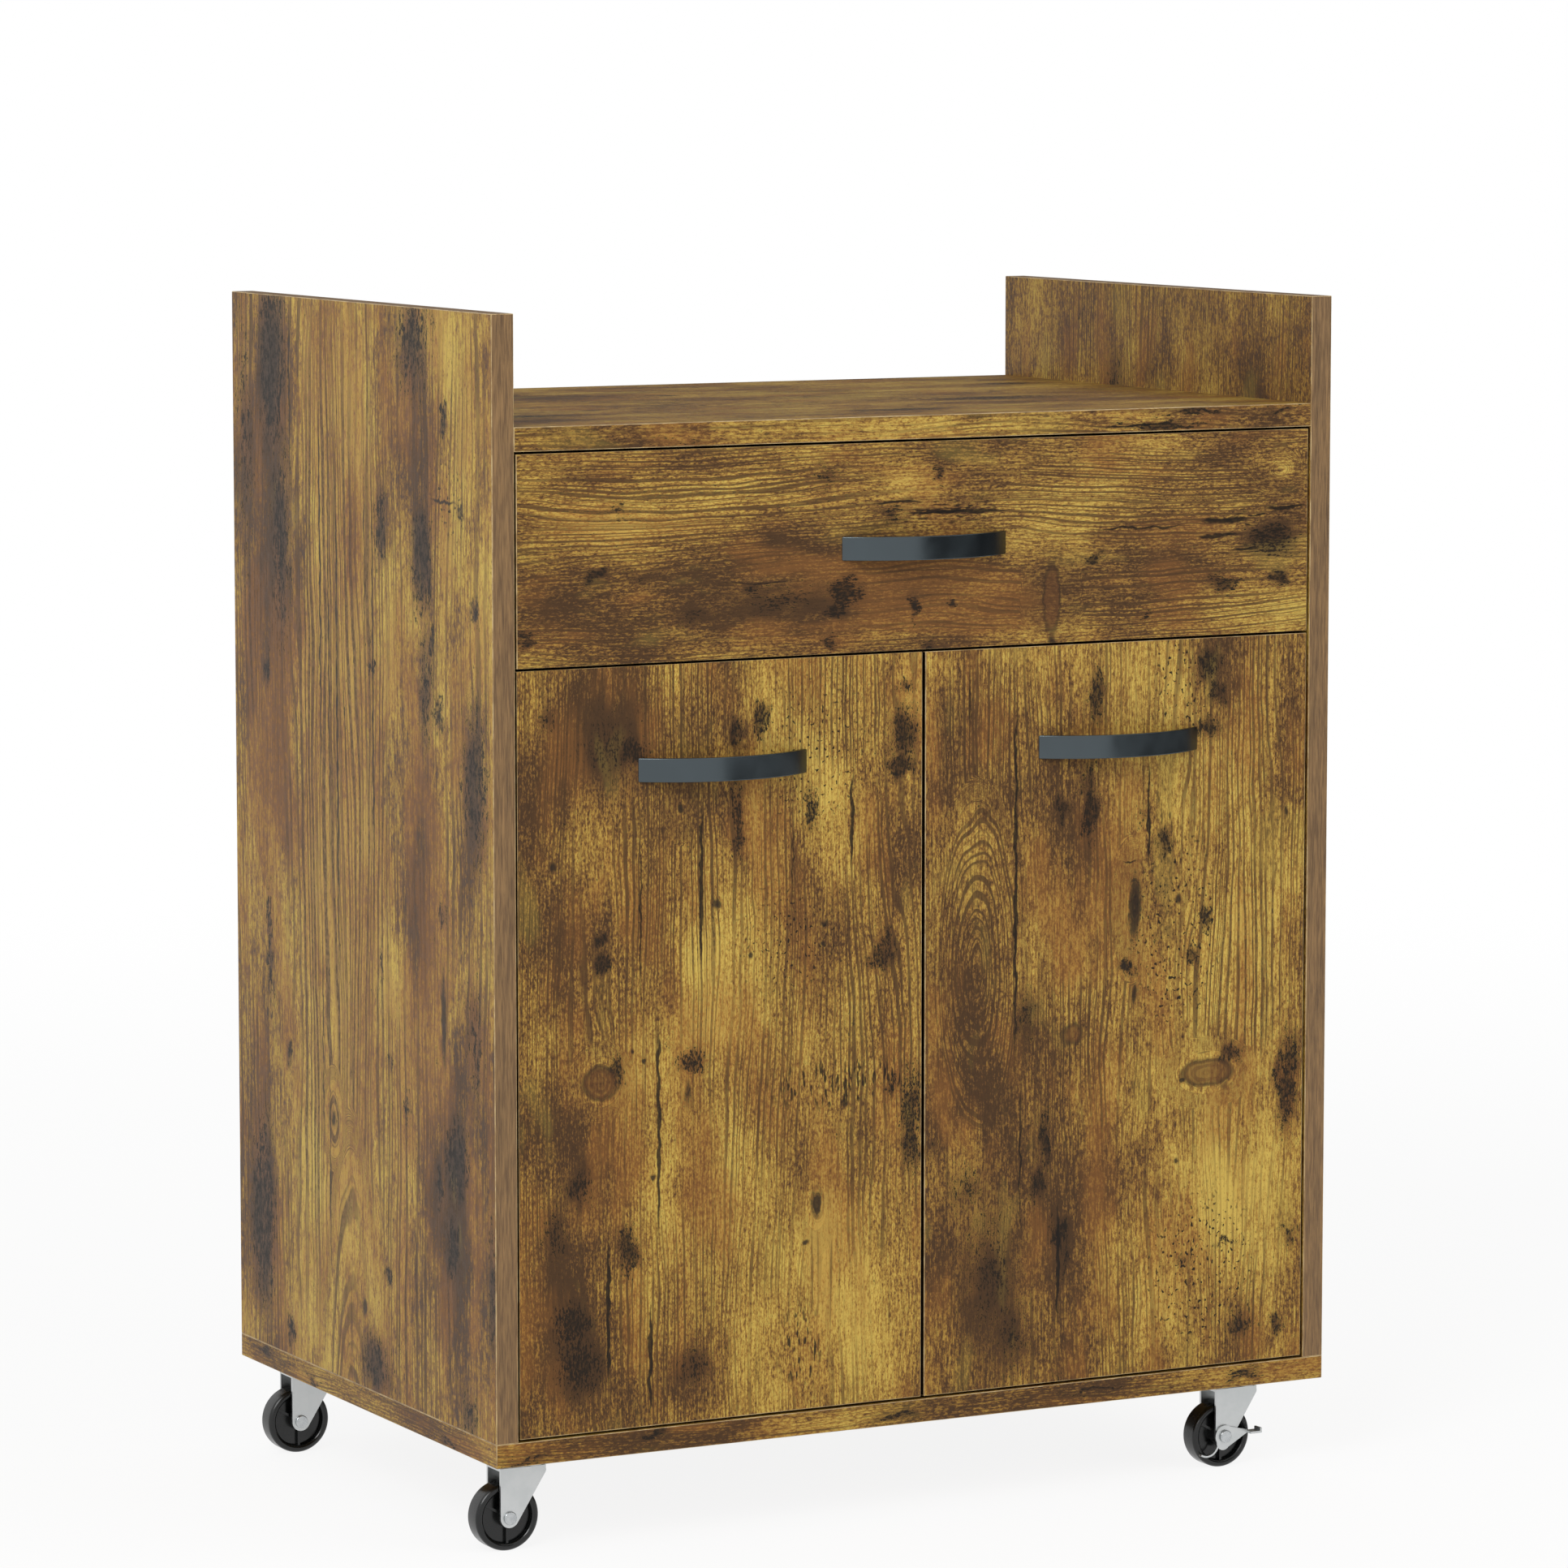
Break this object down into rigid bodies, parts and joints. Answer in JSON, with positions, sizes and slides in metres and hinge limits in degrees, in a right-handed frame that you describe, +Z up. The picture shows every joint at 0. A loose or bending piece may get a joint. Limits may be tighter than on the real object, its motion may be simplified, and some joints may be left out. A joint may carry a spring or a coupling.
{
  "type": "kitchen cart",
  "caption": "Wheeled kitchen cart: a wood-look cabinet with a drawer over two doors, a low-sided open top shelf and swivel casters, some with brakes.",
  "frame": {"origin": "centre of the whole cart's bounding box at floor level, handles included", "axes": "+X to the right seen from the front, +Y from the front to the back, +Z up"},
  "size_m": [0.6, 0.42, 0.771],
  "materials": {
    "laminate": "printed wood laminate on particle board, satin",
    "box_board": "plain melamine faced particle board, satin",
    "hardboard": "thin hardboard, matt",
    "black_metal": "satin black powder coat",
    "zinc": "bright zinc plate, satin",
    "steel": "plain plated steel",
    "black_plastic": "moulded, semi-gloss",
    "nylon": "moulded nylon, matt",
    "magnet": "sintered ferrite, matt"
  },
  "bodies": {
    "cabinet": {"bottom_board": "laminate", "left_side_panel": "laminate", "right_side_panel": "laminate", "top_shelf": "laminate", "inner_shelf": "box_board", "back_panel": "hardboard", "front_rail": "box_board", "shelf_pins": "steel", "cam_locks": "zinc", "cam_bolts": "steel", "base_screws": "steel", "pan_head_screws": "zinc", "left_cabinet_runner": "zinc", "right_cabinet_runner": "zinc", "hinge_plates": "zinc", "hinge_arms": "steel", "catch_cases": "nylon", "catch_magnets": "magnet", "caster_plates": "zinc", "caster_kingpins": "steel"},
    "drawer": {"drawer_front": "laminate", "drawer_left_side": "box_board", "drawer_right_side": "box_board", "drawer_back": "box_board", "drawer_bottom": "hardboard", "drawer_handle": "black_metal", "drawer_handle_screws": "zinc", "drawer_corner_screws": "steel", "left_drawer_runner": "zinc", "right_drawer_runner": "zinc"},
    "left_door": {"left_door_panel": "laminate", "left_door_handle": "black_metal", "left_door_handle_screws": "zinc", "left_hinge_cups": "steel", "left_cup_screws": "zinc", "left_strike_plate": "zinc"},
    "right_door": {"right_door_panel": "laminate", "right_door_handle": "black_metal", "right_door_handle_screws": "zinc", "right_hinge_cups": "steel", "right_cup_screws": "zinc", "right_strike_plate": "zinc"},
    "left_cabinet_roller_body": {"left_cabinet_roller": "nylon"},
    "right_cabinet_roller_body": {"right_cabinet_roller": "nylon"},
    "left_drawer_roller_body": {"left_drawer_roller": "nylon"},
    "right_drawer_roller_body": {"right_drawer_roller": "nylon"},
    "front_left_caster": {"front_left_fork": "zinc", "front_left_axle": "steel"},
    "front_left_roller": {"front_left_wheel": "black_plastic"},
    "front_right_caster": {"front_right_fork": "zinc", "front_right_axle": "steel"},
    "front_right_roller": {"front_right_wheel": "black_plastic"},
    "front_right_brake": {"front_right_brake_lever": "zinc"},
    "back_left_caster": {"back_left_fork": "zinc", "back_left_axle": "steel"},
    "back_left_roller": {"back_left_wheel": "black_plastic"},
    "back_right_caster": {"back_right_fork": "zinc", "back_right_axle": "steel"},
    "back_right_roller": {"back_right_wheel": "black_plastic"},
    "back_right_brake": {"back_right_brake_lever": "zinc"}
  },
  "joints": [
    {"name": "drawer_slide", "type": "slide", "parent": "cabinet", "child": "drawer", "axis": [0, -1, 0], "range_m": [0, 0.25]},
    {"name": "left_door_swing", "type": "hinge", "parent": "cabinet", "child": "left_door", "pos_m": [-0.2835, -0.1892, 0.31475], "axis": [0, 0, -1], "range_deg": [0, 100]},
    {"name": "right_door_swing", "type": "hinge", "parent": "cabinet", "child": "right_door", "pos_m": [0.2835, -0.1892, 0.31475], "axis": [0, 0, 1], "range_deg": [0, 100]},
    {"name": "left_cabinet_roller_spin", "type": "hinge", "parent": "cabinet", "child": "left_cabinet_roller_body", "pos_m": [-0.27955, -0.1582, 0.5863], "axis": [1, 0, 0], "range_deg": [0, 1508]},
    {"name": "left_drawer_roller_spin", "type": "hinge", "parent": "drawer", "child": "left_drawer_roller_body", "pos_m": [-0.27775, 0.1488, 0.5863], "axis": [1, 0, 0], "range_deg": [0, 1508]},
    {"name": "right_cabinet_roller_spin", "type": "hinge", "parent": "cabinet", "child": "right_cabinet_roller_body", "pos_m": [0.27955, -0.1582, 0.5863], "axis": [1, 0, 0], "range_deg": [0, 1508]},
    {"name": "right_drawer_roller_spin", "type": "hinge", "parent": "drawer", "child": "right_drawer_roller_body", "pos_m": [0.27775, 0.1488, 0.5863], "axis": [1, 0, 0], "range_deg": [0, 1508]},
    {"name": "front_left_swivel", "type": "hinge", "parent": "cabinet", "child": "front_left_caster", "pos_m": [-0.26, -0.152, 0.054], "axis": [0, 0, 1], "continuous": true},
    {"name": "front_left_wheel_spin", "type": "hinge", "parent": "front_left_caster", "child": "front_left_roller", "pos_m": [-0.278, -0.152, 0.0215], "axis": [0, 1, 0], "continuous": true},
    {"name": "front_right_swivel", "type": "hinge", "parent": "cabinet", "child": "front_right_caster", "pos_m": [0.26, -0.152, 0.054], "axis": [0, 0, 1], "continuous": true},
    {"name": "front_right_wheel_spin", "type": "hinge", "parent": "front_right_caster", "child": "front_right_roller", "pos_m": [0.242, -0.152, 0.0215], "axis": [0, 1, 0], "continuous": true},
    {"name": "front_right_brake_press", "type": "hinge", "parent": "front_right_caster", "child": "front_right_brake", "pos_m": [0.242, -0.152, 0.0215], "axis": [0, 1, 0], "range_deg": [0, 18]},
    {"name": "back_left_swivel", "type": "hinge", "parent": "cabinet", "child": "back_left_caster", "pos_m": [-0.26, 0.172, 0.054], "axis": [0, 0, 1], "continuous": true},
    {"name": "back_left_wheel_spin", "type": "hinge", "parent": "back_left_caster", "child": "back_left_roller", "pos_m": [-0.278, 0.172, 0.0215], "axis": [0, 1, 0], "continuous": true},
    {"name": "back_right_swivel", "type": "hinge", "parent": "cabinet", "child": "back_right_caster", "pos_m": [0.26, 0.172, 0.054], "axis": [0, 0, 1], "continuous": true},
    {"name": "back_right_wheel_spin", "type": "hinge", "parent": "back_right_caster", "child": "back_right_roller", "pos_m": [0.242, 0.172, 0.0215], "axis": [0, 1, 0], "continuous": true},
    {"name": "back_right_brake_press", "type": "hinge", "parent": "back_right_caster", "child": "back_right_brake", "pos_m": [0.242, 0.172, 0.0215], "axis": [0, 1, 0], "range_deg": [0, 18]}
  ],
  "couplings": [
    {"joint": "left_cabinet_roller_spin", "follows": "drawer_slide", "rad_per_m": 105.26},
    {"joint": "left_drawer_roller_spin", "follows": "drawer_slide", "rad_per_m": 105.26},
    {"joint": "right_cabinet_roller_spin", "follows": "drawer_slide", "rad_per_m": 105.26},
    {"joint": "right_drawer_roller_spin", "follows": "drawer_slide", "rad_per_m": 105.26}
  ]
}
